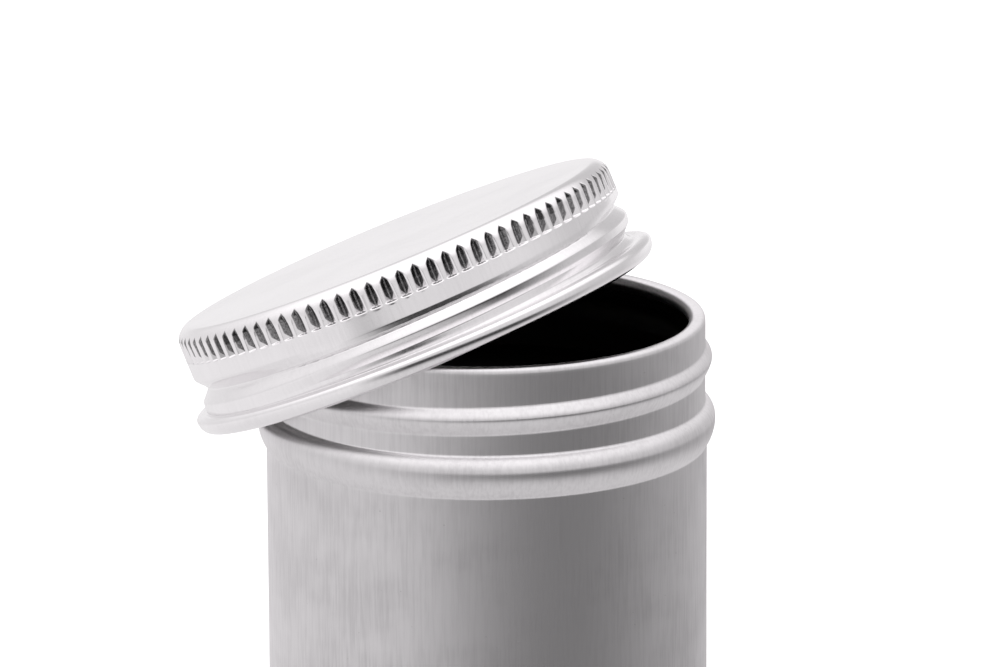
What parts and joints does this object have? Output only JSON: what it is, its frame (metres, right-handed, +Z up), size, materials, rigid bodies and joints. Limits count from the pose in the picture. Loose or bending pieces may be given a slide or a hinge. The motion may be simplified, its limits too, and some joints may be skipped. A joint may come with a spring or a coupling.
{
  "type": "screw-top tin",
  "caption": "Round one-piece aluminium tin with a screw thread, open, and its knurled screw lid lying askew across the mouth.",
  "frame": {"origin": "middle of the base, on the tin's own axis, at the level that it stands on", "axes": "+Z up along the tin's axis; the front, where the thread's crest lies 7.8 mm under the rim, faces -Y; +X to its right"},
  "size_m": [0.0825, 0.0758, 0.0881],
  "materials": {
    "tin": "satin, fine upright grain",
    "lid": "satin, smoother than the tin",
    "liner": "closed-cell foam"
  },
  "bodies": {
    "tin": {"tin_body": "tin"},
    "liner": {"lid_liner": "liner"},
    "lid": {"lid_shell": "lid"}
  },
  "joints": [
    {"name": "lid_lift", "type": "slide", "parent": "tin", "child": "liner", "axis": [0, 0, 1], "range_m": [0, 0.06]},
    {"name": "lid_turn", "type": "hinge", "parent": "liner", "child": "lid", "pos_m": [-0.01499, 0.00484, 0.07513], "axis": [-0.3718, 0.1201, 0.9205], "continuous": true}
  ]
}
